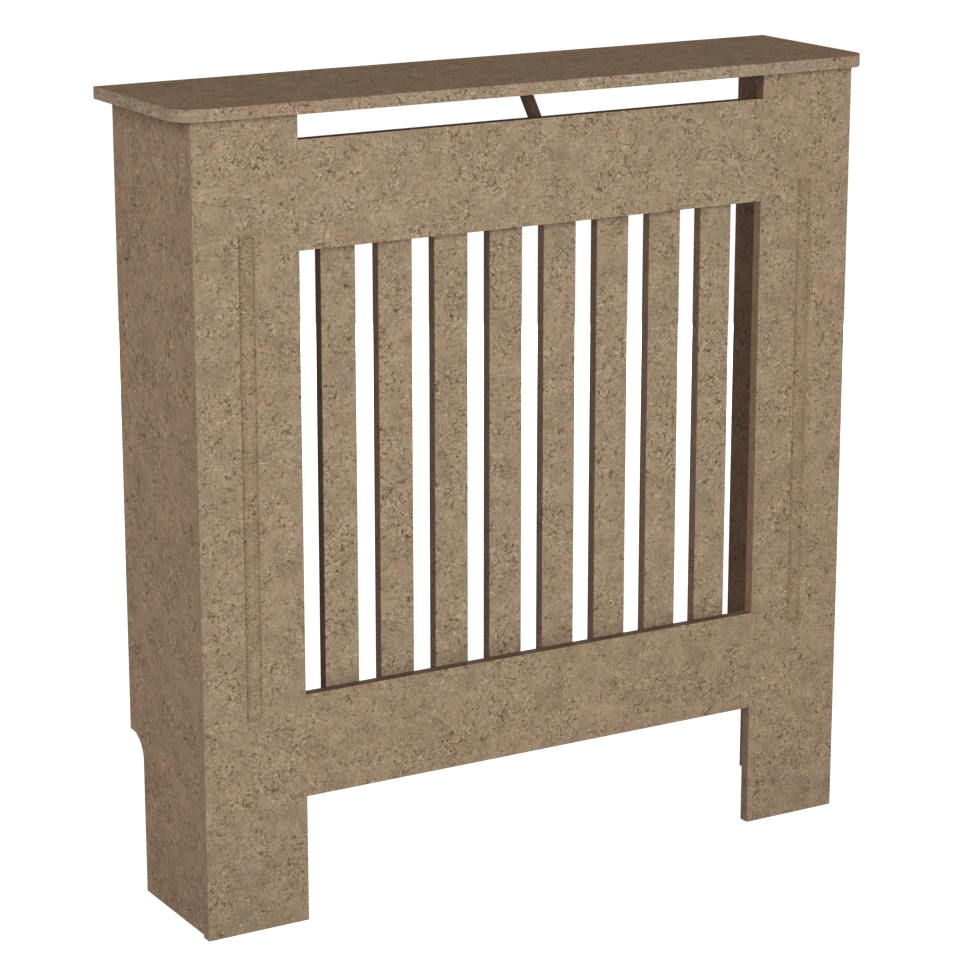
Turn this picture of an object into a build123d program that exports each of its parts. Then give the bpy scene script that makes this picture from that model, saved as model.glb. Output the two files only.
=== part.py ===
from build123d import *
from math import cos, radians, tan
import os

# Radiator cover cabinet: an open-backed box of raw MDF boards that stands over a wall radiator.
# Millimetres. +Z is up, the front faces -Y and the wall is at +Y.
# The origin is the centre of the footprint, on the floor.

# ---------------------------------------------------------------- front frame
body_width = 748.0  # across the outer edges of the two stiles
body_depth = 180.0  # from the front face to the wall
frame_thickness = 12.0
stile_width = 110.0
plinth_height = 130.0  # clear height under the bottom rail
bottom_rail_height = 105.0
opening_height = 439.0  # clear height of the slatted opening
top_rail_height = 105.0
vent_height = 25.0  # slot between the top rail and the shelf
arris = 0.3  # eased edge of every board

# routed groove down each stile
groove_width = 18.0
groove_depth = 3.0
groove_overrun = 18.0  # beyond the opening, above and below
groove_corner_radius = 3.0

# dowelled joints between the rails and the stiles
dowel_radius = 3.0
dowel_length = 30.0
dowel_inset = 22.0  # in from the rail's top and bottom edge
dowel_chamfer = 0.6

# ---------------------------------------------------------------- slats
slat_count = 8
slat_width = 37.0
slat_end_gap = 28.5  # between each end slat and the stile beside it
slat_thickness = 12.0
slat_lap = 40.0  # overlap on the back of each rail

# ---------------------------------------------------------------- side panels
side_thickness = 12.0
side_inset = 3.0  # outer face, in from the stile's outer edge
notch_depth = 30.0  # cut-out that clears the skirting board
notch_height = 165.0
notch_ledge = 5.0  # flat stretch of the notch's top, between its rounded corner and the wall

# ---------------------------------------------------------------- shelf
shelf_thickness = 12.0
shelf_front_overhang = 10.0  # beyond the front frame
shelf_side_overhang = 16.0  # beyond each stile
shelf_corner_radius = 27.0

# ---------------------------------------------------------------- strut under the shelf
strut_width = 9.0
strut_thickness = 10.0  # square to its slope
strut_angle = 51.0  # degrees above the horizontal
strut_offset = 4.5  # centre line, to the right of the middle
pin_radius = 0.8
pin_bite = 9.0  # length of each pin in the board beyond the strut
pin_sink = 0.5  # below the strut's surface
foot_pin_drop = 5.5  # below the top rail's top edge
head_pin_setback = 8.0  # behind the front of the strut's head

# ---------------------------------------------------------------- battens and cleats
batten_size = 18.0
batten_eased_edge = 1.0
batten_floor_gap = 20.0
batten_top_gap = 45.0  # below the shelf
batten_screw_inset = 50.0  # end screws, in from the batten's ends
batten_screw_stagger = 24.0  # between the screws to the panel and to the stile
batten_screw_rows = 3

cleat_size = 18.0
cleat_front_gap = 30.0  # behind the front frame
cleat_back_gap = 35.0  # in front of the wall
cleat_screw_inset = 22.0  # end screws, in from the cleat's ends
cleat_screw_stagger = 16.0
cleat_screw_rows = 2

# ---------------------------------------------------------------- wall brackets
bracket_width = 20.0
bracket_leg = 28.0
bracket_thickness = 2.0
bracket_bend_radius = 2.0
bracket_corner_radius = 4.0
bracket_hole_radius = 2.5  # for the wall screw
bracket_hole_setback = 16.0  # of both holes, from the bracket's heel
bracket_spacing = 500.0  # between the two wall screws

# ---------------------------------------------------------------- screws
screw_radius = 1.75
screw_head_radius = 3.5
screw_bite = 7.0  # length in the board beyond the batten or the cleat
screw_tip = 4.0
small_screw_radius = 1.5
small_head_radius = 3.2
small_head_height = 1.8
small_head_rim = 0.9  # height of the head's upright rim
small_head_flat = 2.2  # radius of the head's flat top
slat_screw_bite = 8.0  # length in the rail beyond the slat
bracket_screw_bite = 9.0  # length in the shelf beyond the bracket
recess_depth = 1.1
recess_width = 0.8
recess_span = 3.2

# fits
hole_clearance = 0.1  # all round a screw, pin or dowel
hole_end_gap = 0.8  # beyond the tip of a screw, pin or dowel

# ---------------------------------------------------------------- derived places
half_width = body_width / 2
opening_half = half_width - stile_width
stile_x = half_width - stile_width / 2
panel_outer_x = half_width - side_inset
panel_inner_x = panel_outer_x - side_thickness

back_y = (body_depth + shelf_front_overhang) / 2
front_y = back_y - body_depth
frame_back_y = front_y + frame_thickness
slat_back_y = frame_back_y + slat_thickness
notch_y = back_y - notch_depth

opening_bottom = plinth_height + bottom_rail_height
opening_top = opening_bottom + opening_height
top_rail_top = opening_top + top_rail_height
body_height = top_rail_top + vent_height

front_plane = Plane.XZ.offset(-front_y)
slat_plane = Plane.XZ.offset(-frame_back_y)

LEFT, RIGHT = -1, 1
side_names = {LEFT: "left", RIGHT: "right"}

os.makedirs("parts", exist_ok=True)


def save(piece, name):
    """Label a finished piece and write it to its own file."""
    piece.part.label = name
    export_step(piece.part, f"parts/{name}.step")


def seat(point, outward):
    """Place of a fastener: its head at the point, its own +Z pointing out of the board."""
    return Location(Plane(origin=point, z_dir=outward))


def spread(low, high, count):
    """Evenly spaced values from low to high, both included."""
    step = (high - low) / (count - 1)
    return [low + step * row for row in range(count)]


def wood_screw(head_outline, shank_radius, length):
    """Wood screw that points down -Z. The outline of its head runs from the axis to the shank."""
    with BuildPart() as screw:
        with BuildSketch(Plane.XZ):
            with BuildLine():
                Polyline(
                    *head_outline,
                    (shank_radius, screw_tip - length),
                    (0, -length),
                    close=True,
                )
            make_face()
        revolve(axis=Axis.Z)
        with BuildSketch(Plane.XY.offset(head_outline[0][1])):
            Rectangle(recess_span, recess_width)
            Rectangle(recess_width, recess_span)
        extrude(amount=-recess_depth, mode=Mode.SUBTRACT)
    return screw.part


def countersunk_screw(length):
    """Screw with a flat head, level with z = 0."""
    head = [(0, 0), (screw_head_radius, 0), (screw_radius, screw_radius - screw_head_radius)]
    return wood_screw(head, screw_radius, length)


def pan_head_screw(length):
    """Screw with a domed head that stands on z = 0."""
    head = [
        (0, small_head_height),
        (small_head_flat, small_head_height),
        (small_head_radius, small_head_rim),
        (small_head_radius, 0),
        (small_screw_radius, 0),
    ]
    return wood_screw(head, small_screw_radius, length)


# ---------------------------------------------------------------- places of the fasteners
rail_spans = {
    "bottom_rail": (plinth_height, opening_bottom),
    "top_rail": (opening_top, top_rail_top),
}
slat_screw_heights = {
    "bottom_rail": opening_bottom - slat_lap / 2,
    "top_rail": opening_top + slat_lap / 2,
}
end_slat_x = opening_half - slat_end_gap - slat_width / 2
slat_places = spread(-end_slat_x, end_slat_x, slat_count)


def dowel_places(sides, rails):
    """Dowels in the joints of the named rails, two to a joint."""
    return [
        seat((side * opening_half, (front_y + frame_back_y) / 2, z), (1, 0, 0))
        for side in sides
        for rail in rails
        for z in (rail_spans[rail][0] + dowel_inset, rail_spans[rail][1] - dowel_inset)
    ]


def slat_screw_places(slats, rails):
    """Screws through the ends of the slats at the given x, into the named rails."""
    return [
        seat((x, slat_back_y, slat_screw_heights[rail]), (0, 1, 0))
        for x in slats
        for rail in rails
    ]


batten_bottom = batten_floor_gap
batten_top = body_height - batten_top_gap
batten_centre_x = panel_inner_x - batten_size / 2
batten_centre_y = frame_back_y + batten_size / 2
batten_inner_x = panel_inner_x - batten_size
batten_back_y = frame_back_y + batten_size
batten_screw_heights = spread(
    batten_bottom + batten_screw_inset, batten_top - batten_screw_inset, batten_screw_rows
)


def batten_screw_places(side):
    """Screws through a corner batten: one row into the side panel, one into the stile."""
    into_panel = [
        seat((side * batten_inner_x, batten_centre_y, z), (-side, 0, 0))
        for z in batten_screw_heights
    ]
    into_stile = [
        seat((side * batten_centre_x, batten_back_y, z + batten_screw_stagger), (0, 1, 0))
        for z in batten_screw_heights
    ]
    return into_panel + into_stile


cleat_front_y = frame_back_y + cleat_front_gap
cleat_back_y = back_y - cleat_back_gap
cleat_bottom = body_height - cleat_size
cleat_centre_x = panel_inner_x - cleat_size / 2
cleat_centre_z = body_height - cleat_size / 2
cleat_inner_x = panel_inner_x - cleat_size
cleat_screw_rows_y = spread(
    cleat_front_y + cleat_screw_inset, cleat_back_y - cleat_screw_inset, cleat_screw_rows
)


def cleat_screw_places(side):
    """Screws through a shelf cleat: one row up into the shelf, one into the side panel."""
    into_shelf = [
        seat((side * cleat_centre_x, y, cleat_bottom), (0, 0, -1))
        for y in cleat_screw_rows_y
    ]
    into_panel = [
        seat((side * cleat_inner_x, y + cleat_screw_stagger, cleat_centre_z), (-side, 0, 0))
        for y in cleat_screw_rows_y
    ]
    return into_shelf + into_panel


def bracket_x(side):
    """Centre line of a wall bracket."""
    return side * bracket_spacing / 2


bracket_screw_places = [
    seat((bracket_x(side), back_y - bracket_hole_setback, body_height - bracket_thickness), (0, 0, -1))
    for side in (LEFT, RIGHT)
]

strut_slope = tan(radians(strut_angle))
strut_foot_bottom = top_rail_top - strut_thickness / cos(radians(strut_angle))
strut_head_front = frame_back_y + (body_height - top_rail_top) / strut_slope
strut_head_back = frame_back_y + (body_height - strut_foot_bottom) / strut_slope

foot_pin_z = top_rail_top - foot_pin_drop
foot_pin_y = frame_back_y + (foot_pin_z - strut_foot_bottom) / strut_slope - pin_sink
foot_pin_length = foot_pin_y - frame_back_y + pin_bite
head_pin_y = strut_head_front + head_pin_setback
head_pin_z = strut_foot_bottom + (head_pin_y - frame_back_y) * strut_slope + pin_sink
head_pin_length = body_height - head_pin_z + pin_bite
foot_pin_place = seat((strut_offset, foot_pin_y, foot_pin_z), (0, 1, 0))
head_pin_place = seat((strut_offset, head_pin_y, head_pin_z), (0, 0, -1))

slat_screw_length = slat_thickness + slat_screw_bite
batten_screw_length = batten_size + screw_bite
cleat_screw_length = cleat_size + screw_bite
bracket_screw_length = bracket_thickness + bracket_screw_bite


# ---------------------------------------------------------------- stiles
groove_length = opening_height + 2 * groove_overrun
for side, side_name in side_names.items():
    with BuildPart() as stile:
        with BuildSketch(front_plane):
            with Locations((side * stile_x, body_height / 2)):
                Rectangle(stile_width, body_height)
        extrude(amount=-frame_thickness)
        chamfer(stile.edges(), arris)
        with BuildSketch(front_plane):
            with Locations((side * stile_x, opening_bottom + opening_height / 2)):
                RectangleRounded(groove_width, groove_length, groove_corner_radius)
        extrude(amount=-groove_depth, mode=Mode.SUBTRACT)
        with Locations(*dowel_places([side], rail_spans)):
            Hole(dowel_radius + hole_clearance, dowel_length / 2 + hole_end_gap)
        with Locations(*batten_screw_places(side)):
            Hole(screw_radius + hole_clearance, batten_screw_length + hole_end_gap)
    save(stile, f"{side_name}_stile")

# ---------------------------------------------------------------- rails
for rail_name, (low, high) in rail_spans.items():
    with BuildPart() as rail:
        with BuildSketch(front_plane):
            with Locations((0, (low + high) / 2)):
                Rectangle(2 * opening_half, high - low)
        extrude(amount=-frame_thickness)
        chamfer(rail.edges(), arris)
        with Locations(*dowel_places([LEFT, RIGHT], [rail_name])):
            Hole(dowel_radius + hole_clearance, dowel_length / 2 + hole_end_gap)
        with Locations(*slat_screw_places(slat_places, [rail_name])):
            Hole(small_screw_radius + hole_clearance, slat_screw_length + hole_end_gap)
        if rail_name == "top_rail":
            with Locations(foot_pin_place):
                Hole(pin_radius + hole_clearance, foot_pin_length + hole_end_gap)
    save(rail, rail_name)

# ---------------------------------------------------------------- dowels
with BuildPart() as rail_dowels:
    with Locations(*dowel_places([LEFT, RIGHT], rail_spans)):
        Cylinder(dowel_radius, dowel_length)
    chamfer(rail_dowels.edges().filter_by(GeomType.CIRCLE), dowel_chamfer)
save(rail_dowels, "rail_dowels")

# ---------------------------------------------------------------- slats
for number, x in enumerate(slat_places, start=1):
    with BuildPart() as slat:
        with BuildSketch(slat_plane):
            with Locations((x, opening_bottom + opening_height / 2)):
                Rectangle(slat_width, opening_height + 2 * slat_lap)
        extrude(amount=-slat_thickness)
        chamfer(slat.edges(), arris)
        with Locations(*slat_screw_places([x], rail_spans)):
            Hole(small_screw_radius + hole_clearance, slat_screw_length)
    save(slat, f"slat_{number}")

slat_screw = pan_head_screw(slat_screw_length)
with BuildPart() as slat_screws:
    with Locations(*slat_screw_places(slat_places, rail_spans)):
        add(slat_screw)
save(slat_screws, "slat_screws")

# ---------------------------------------------------------------- side panels
notch_radius = notch_depth - notch_ledge
for side, side_name in side_names.items():
    with BuildPart() as side_panel:
        with BuildSketch(Plane.YZ.offset(side * panel_inner_x)):
            with BuildLine():
                Polyline(
                    (notch_y, notch_height - notch_radius),
                    (notch_y, 0),
                    (frame_back_y, 0),
                    (frame_back_y, body_height),
                    (back_y, body_height),
                    (back_y, notch_height),
                    (notch_y + notch_radius, notch_height),
                )
                CenterArc((notch_y + notch_radius, notch_height - notch_radius), notch_radius, 90, 90)
            make_face()
        extrude(amount=side * side_thickness)
        chamfer(side_panel.edges(), arris)
        with Locations(*batten_screw_places(side)):
            Hole(screw_radius + hole_clearance, batten_screw_length + hole_end_gap)
        with Locations(*cleat_screw_places(side)):
            Hole(screw_radius + hole_clearance, cleat_screw_length + hole_end_gap)
    save(side_panel, f"{side_name}_side_panel")

# ---------------------------------------------------------------- shelf
with BuildPart() as top_shelf:
    with BuildSketch(Plane.XY.offset(body_height)) as outline:
        Rectangle(body_width + 2 * shelf_side_overhang, body_depth + shelf_front_overhang)
        fillet(outline.vertices().group_by(Axis.Y)[0], shelf_corner_radius)
    extrude(amount=shelf_thickness)
    chamfer(top_shelf.edges(), arris)
    for side in (LEFT, RIGHT):
        with Locations(*cleat_screw_places(side)):
            Hole(screw_radius + hole_clearance, cleat_screw_length + hole_end_gap)
    with Locations(*bracket_screw_places):
        Hole(small_screw_radius + hole_clearance, bracket_screw_length + hole_end_gap)
    with Locations(head_pin_place):
        Hole(pin_radius + hole_clearance, head_pin_length + hole_end_gap)
save(top_shelf, "top_shelf")

# ---------------------------------------------------------------- strut and its pins
with BuildPart() as shelf_strut:
    with BuildSketch(Plane.YZ.offset(strut_offset - strut_width / 2)):
        with BuildLine():
            Polyline(
                (frame_back_y, top_rail_top),
                (frame_back_y, strut_foot_bottom),
                (strut_head_back, body_height),
                (strut_head_front, body_height),
                close=True,
            )
        make_face()
    extrude(amount=strut_width)
    with Locations(foot_pin_place):
        Hole(pin_radius + hole_clearance, foot_pin_length)
    with Locations(head_pin_place):
        Hole(pin_radius + hole_clearance, head_pin_length)
save(shelf_strut, "shelf_strut")

with BuildPart() as strut_pins:
    with Locations(foot_pin_place):
        Cylinder(pin_radius, foot_pin_length, align=(Align.CENTER, Align.CENTER, Align.MAX))
    with Locations(head_pin_place):
        Cylinder(pin_radius, head_pin_length, align=(Align.CENTER, Align.CENTER, Align.MAX))
save(strut_pins, "strut_pins")

# ---------------------------------------------------------------- corner battens
for side, side_name in side_names.items():
    with BuildPart() as corner_batten:
        with BuildSketch(Plane.XY.offset(batten_bottom)):
            with Locations((side * batten_centre_x, batten_centre_y)):
                Rectangle(batten_size, batten_size)
        extrude(amount=batten_top - batten_bottom)
        chamfer(corner_batten.edges().filter_by(Axis.Z), batten_eased_edge)
        with Locations(*batten_screw_places(side)):
            CounterSinkHole(
                screw_radius + hole_clearance,
                screw_head_radius + hole_clearance,
                batten_screw_length,
                counter_sink_angle=90,
            )
    save(corner_batten, f"{side_name}_corner_batten")

batten_screw = countersunk_screw(batten_screw_length)
with BuildPart() as corner_batten_screws:
    for side in (LEFT, RIGHT):
        with Locations(*batten_screw_places(side)):
            add(batten_screw)
save(corner_batten_screws, "corner_batten_screws")

# ---------------------------------------------------------------- shelf cleats
for side, side_name in side_names.items():
    with BuildPart() as shelf_cleat:
        with BuildSketch(Plane.XZ.offset(-cleat_front_y)):
            with Locations((side * cleat_centre_x, cleat_centre_z)):
                Rectangle(cleat_size, cleat_size)
        extrude(amount=cleat_front_y - cleat_back_y)
        chamfer(shelf_cleat.edges().filter_by(Axis.Y), batten_eased_edge)
        with Locations(*cleat_screw_places(side)):
            CounterSinkHole(
                screw_radius + hole_clearance,
                screw_head_radius + hole_clearance,
                cleat_screw_length,
                counter_sink_angle=90,
            )
    save(shelf_cleat, f"{side_name}_shelf_cleat")

cleat_screw = countersunk_screw(cleat_screw_length)
with BuildPart() as shelf_cleat_screws:
    for side in (LEFT, RIGHT):
        with Locations(*cleat_screw_places(side)):
            add(cleat_screw)
save(shelf_cleat_screws, "shelf_cleat_screws")

# ---------------------------------------------------------------- wall brackets
bracket_low = body_height - bracket_leg
bracket_front = back_y - bracket_leg
bracket_inner_y = back_y - bracket_thickness
bracket_inner_z = body_height - bracket_thickness
for side, side_name in side_names.items():
    x = bracket_x(side)
    with BuildPart() as wall_bracket:
        with BuildSketch(Plane.YZ.offset(x - bracket_width / 2)):
            with BuildLine():
                Polyline(
                    (bracket_front, body_height),
                    (bracket_front, bracket_inner_z),
                    (bracket_inner_y, bracket_inner_z),
                    (bracket_inner_y, bracket_low),
                    (back_y, bracket_low),
                    (back_y, body_height),
                    close=True,
                )
            make_face()
        extrude(amount=bracket_width)
        along = wall_bracket.edges().filter_by(Axis.X)
        heel = along.sort_by_distance((x, back_y, body_height))[0]
        crotch = along.sort_by_distance((x, bracket_inner_y, bracket_inner_z))[0]
        wall_tips = wall_bracket.edges().filter_by(Axis.Y).group_by(Axis.Z)[0]
        shelf_tips = wall_bracket.edges().filter_by(Axis.Z).group_by(Axis.Y)[0]
        fillet(heel, bracket_bend_radius + bracket_thickness)
        fillet(crotch, bracket_bend_radius)
        fillet(wall_tips + shelf_tips, bracket_corner_radius)
        with Locations(seat((x, back_y, body_height - bracket_hole_setback), (0, 1, 0))):
            Hole(bracket_hole_radius)
        with Locations(*bracket_screw_places):
            Hole(small_screw_radius + hole_clearance)
    save(wall_bracket, f"{side_name}_wall_bracket")

bracket_screw = pan_head_screw(bracket_screw_length)
with BuildPart() as wall_bracket_screws:
    with Locations(*bracket_screw_places):
        add(bracket_screw)
save(wall_bracket_screws, "wall_bracket_screws")
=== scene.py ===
"""Radiator cover cabinet: finishes, fasteners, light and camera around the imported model.

Everything is in metres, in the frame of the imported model: +Z is up, the front faces -Y and the
wall is at +Y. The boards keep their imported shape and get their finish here. The screws, dowels
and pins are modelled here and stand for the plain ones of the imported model.
"""

import logging
import math
from contextlib import contextmanager
from dataclasses import dataclass, replace
from enum import Enum
from typing import Callable, Iterator, Optional, Sequence, Union

import bmesh
import bpy
from mathutils import Matrix, Vector


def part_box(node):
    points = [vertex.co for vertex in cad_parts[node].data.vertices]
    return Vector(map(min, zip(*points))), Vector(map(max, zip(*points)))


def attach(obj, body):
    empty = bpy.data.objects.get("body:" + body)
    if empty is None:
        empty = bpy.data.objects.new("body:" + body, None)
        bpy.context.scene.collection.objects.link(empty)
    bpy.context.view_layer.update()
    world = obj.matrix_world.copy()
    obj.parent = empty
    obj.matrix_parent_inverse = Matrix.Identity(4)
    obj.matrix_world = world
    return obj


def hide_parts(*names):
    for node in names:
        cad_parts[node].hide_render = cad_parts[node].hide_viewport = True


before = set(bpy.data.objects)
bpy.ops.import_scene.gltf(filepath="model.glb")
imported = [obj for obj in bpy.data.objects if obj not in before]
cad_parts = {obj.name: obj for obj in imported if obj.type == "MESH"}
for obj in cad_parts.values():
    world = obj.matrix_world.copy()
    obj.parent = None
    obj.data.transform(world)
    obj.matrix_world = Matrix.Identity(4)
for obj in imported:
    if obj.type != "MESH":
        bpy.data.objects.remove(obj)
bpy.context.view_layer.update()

log = logging.getLogger("radiator_cover")
logging.basicConfig(level=logging.INFO, format="%(name)s: %(message)s")

BODY = "root"
MM = 0.001
Triple = tuple[float, float, float]
Ramp = tuple[float, ...]  # its start and end, and what it gives there if that isn't 0 and 1
NONE: Triple = (0.0, 0.0, 0.0)  # no move or no turn
FULL: Triple = (1.0, 1.0, 1.0)  # white, or no change of scale
HALF = 0.5  # middle of a noise, and the share of a normal above which a surface faces its axis
SQUARE_ON = 0.9  # the same for a face of a fastener's blank
TOUCH = 0.01 * MM  # points nearer than this are at the same level
WELD = 0.001 * MM  # points nearer than this become one
QUARTER = math.radians(90)
VIEW_RAYS = ("Is Camera Ray", "Is Glossy Ray", "Is Transmission Ray")
Material = bpy.types.Material
Piece = bpy.types.Object


def scaled(triple: Triple, by: float) -> Triple:
    """Return three numbers times another."""
    return tuple(number * by for number in triple)


def linear(*steps: int) -> Triple:
    """Return the linear colour of display steps, each 0 to 255, by the display's own curve."""
    shares = [step / 255 for step in steps]
    return tuple(s / 12.92 if s <= 0.04045 else ((s + 0.055) / 1.055) ** 2.4 for s in shares)


# ---- shader tools
class Value:
    """An output socket that takes part in arithmetic, each sum becoming a Math node."""

    def __init__(self, shader: "Shader", socket: bpy.types.NodeSocket) -> None:
        """Keep the socket and the shader that it belongs to."""
        self.shader, self.socket = shader, socket

    def math(self, operation: str, *terms: "Term") -> "Value":
        """Return the result of a Math node with the given operation and inputs."""
        return self.shader.node("Math", {"operation": operation}, dict(enumerate(terms)))

    def __add__(self, other: "Term") -> "Value":
        """Return this plus the other."""
        return self.math("ADD", self, other)

    def __radd__(self, other: "Term") -> "Value":
        """Return the other plus this."""
        return self.math("ADD", other, self)

    def __sub__(self, other: "Term") -> "Value":
        """Return this less the other."""
        return self.math("SUBTRACT", self, other)

    def __rsub__(self, other: "Term") -> "Value":
        """Return the other less this."""
        return self.math("SUBTRACT", other, self)

    def __mul__(self, other: "Term") -> "Value":
        """Return this times the other."""
        return self.math("MULTIPLY", self, other)

    def __rmul__(self, other: "Term") -> "Value":
        """Return the other times this."""
        return self.math("MULTIPLY", other, self)

    def __abs__(self) -> "Value":
        """Return this without its sign."""
        return self.math("ABSOLUTE", self)

    def least(self, other: "Term") -> "Value":
        """Return the smaller of this and the other."""
        return self.math("MINIMUM", self, other)

    def above(self, edge: "Term") -> "Value":
        """Return 1 where this is over the edge and 0 elsewhere."""
        return self.math("GREATER_THAN", self, edge)


Term = Union[Value, float]
Socket = Union[Value, float, Sequence[float]]
Part = Union[bmesh.types.BMFace, bmesh.types.BMEdge]


class Shader:
    """The node tree of one material or world."""

    def __init__(self, owner: Union[Material, bpy.types.World]) -> None:
        """Start an empty tree in a new material or world.

        Args:
            owner: The material or world.
        """
        self.owner = owner
        owner.use_nodes = True
        self.tree = owner.node_tree
        self.tree.nodes.clear()

    def past_the_piece(self) -> Value:
        """Return 1 for what the camera sees straight, in a mirror or through glass, and 0 for light."""
        camera, mirror, glass = (self.node("LightPath", output=ray) for ray in VIEW_RAYS)
        return (camera + mirror + glass).least(1.0)

    def node(
        self,
        kind: str,
        settings: Optional[dict[str, object]] = None,
        sockets: Optional[dict[Union[int, str], Socket]] = None,
        output: Union[int, str] = 0,
    ) -> Optional[Value]:
        """Add a node of any kind.

        Args:
            kind: The node's type, without the leading "ShaderNode".
            settings: Its settings, set before its sockets.
            sockets: The value or link of each named or numbered input. A colour has no alpha.
            output: The output that is wanted.

        Returns:
            The wanted output, or None where the node has none.
        """
        made = self.tree.nodes.new(f"ShaderNode{kind}")
        for name, setting in (settings or {}).items():
            setattr(made, name, setting)
        for key, given in (sockets or {}).items():
            socket = made.inputs[key]
            if isinstance(given, Value):
                self.tree.links.new(given.socket, socket)
            else:
                socket.default_value = (*given, 1.0) if socket.type == "RGBA" else given
        return Value(self, made.outputs[output]) if made.outputs else None

    def own(self, output: str) -> Value:
        """Return the "Object" place on the surface or its "Normal", in the object's coordinates."""
        return self.node("TexCoord", output=output)

    def axis(self, place: Value, index: int) -> Value:
        """Return one coordinate of a place or a normal."""
        return self.node("SeparateXYZ", None, {0: place}, index)

    def mapped(
        self, place: Value, move: Triple = NONE, turn: Triple = NONE, scale: Triple = FULL
    ) -> Value:
        """Return a place scaled, then turned, then moved."""
        sockets = {"Vector": place, "Location": move, "Rotation": turn, "Scale": scale}
        return self.node("Mapping", None, sockets)

    def in_millimetres(self, turn: Triple = NONE) -> Value:
        """Return the place on the surface in millimetres, turned."""
        return self.mapped(self.own("Object"), turn=turn, scale=(1 / MM, 1 / MM, 1 / MM))

    def noise(self, place: Value, size: float, detail: float = 2.0, roughness: float = 0.5) -> Value:
        """Return a cloudy value around a half, whose clouds are as wide as the size."""
        sockets = {"Vector": place, "Scale": 1 / size, "Detail": detail, "Roughness": roughness}
        return self.node("TexNoise", None, sockets)

    def cells(self, place: Value, mesh: float) -> tuple[Value, Value]:
        """Return the distance to a loose lattice's nearest point, in shares of its mesh, and a tag."""
        near = self.node("TexVoronoi", None, {"Vector": place, "Scale": 1 / mesh})
        return near, Value(self, near.socket.node.outputs["Color"])

    def channel(self, colour: Value, index: int) -> Value:
        """Return one channel of a colour."""
        return self.node("SeparateColor", None, {0: colour}, index)

    def ramp(
        self, value: Value, low: float, high: float, out_low: float = 0.0, out_high: float = 1.0
    ) -> Value:
        """Return the value taken smoothly from one range to another, and held beyond its ends."""
        ends = {"From Min": low, "From Max": high, "To Min": out_low, "To Max": out_high}
        return self.node("MapRange", {"interpolation_type": "SMOOTHSTEP"}, {"Value": value, **ends})

    def mix(self, factor: Term, first: Socket, second: Socket) -> Value:
        """Return a mix of two colours."""
        sockets = {0: factor, 6: first, 7: second}
        return self.node("Mix", {"data_type": "RGBA"}, sockets, 2)

    def vector(self, operation: str, first: Socket, second: Socket) -> Value:
        """Return the result of a Vector Math node with the given operation and inputs."""
        return self.node("VectorMath", {"operation": operation}, {0: first, 1: second})

    def tinted(self, colour: Value, other: Value) -> Value:
        """Return a colour times another, channel by channel."""
        return self.vector("MULTIPLY", colour, other)

    def shade(self, colour: Value, strength: Term) -> Value:
        """Return a colour times a number."""
        return self.node("VectorMath", {"operation": "SCALE"}, {0: colour, "Scale": strength})

    def shift(self, place: Value, other: Value, reach: float) -> Value:
        """Return a place moved by a colour's distance from mid-grey, up to the given reach."""
        step = self.vector("SUBTRACT", other, scaled(FULL, HALF))
        return self.vector("ADD", place, self.shade(step, 2 * reach))

    def bump(self, height: Value, strength: float, depth: float) -> Value:
        """Return the surface's normal, tilted by a height of 0 to 1 that stands for a depth."""
        sockets = {"Height": height, "Strength": strength, "Distance": depth}
        return self.node("Bump", None, sockets)

    def finish(self, **sockets: Socket) -> Material:
        """Close the tree with a Principled shader and return the material.

        Args:
            sockets: The shader's sockets, with underscores for the spaces in their names.

        Returns:
            The finished material.
        """
        named = {name.replace("_", " "): given for name, given in sockets.items()}
        shader = self.node("BsdfPrincipled", None, named)
        self.node("OutputMaterial", None, {"Surface": shader})
        return self.owner


# ---- finishes
class Lay(Enum):
    """Plane in which a board's fibres lie, named after the side of the cover that it faces."""

    FRONT = "Y"
    SIDE = "X"
    FLAT = "Z"

    def turn(self) -> Triple:
        """Return the turn that brings the plane to XY."""
        return {"Y": (QUARTER, 0.0, 0.0), "X": (0.0, QUARTER, 0.0), "Z": (0.0, 0.0, 0.0)}[self.value]

    def across(self, shader: Shader) -> Value:
        """Return how far the surface faces along the axis that the plane is square to, -1 to 1."""
        return shader.axis(shader.own("Normal"), "XYZ".index(self.value))


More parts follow.
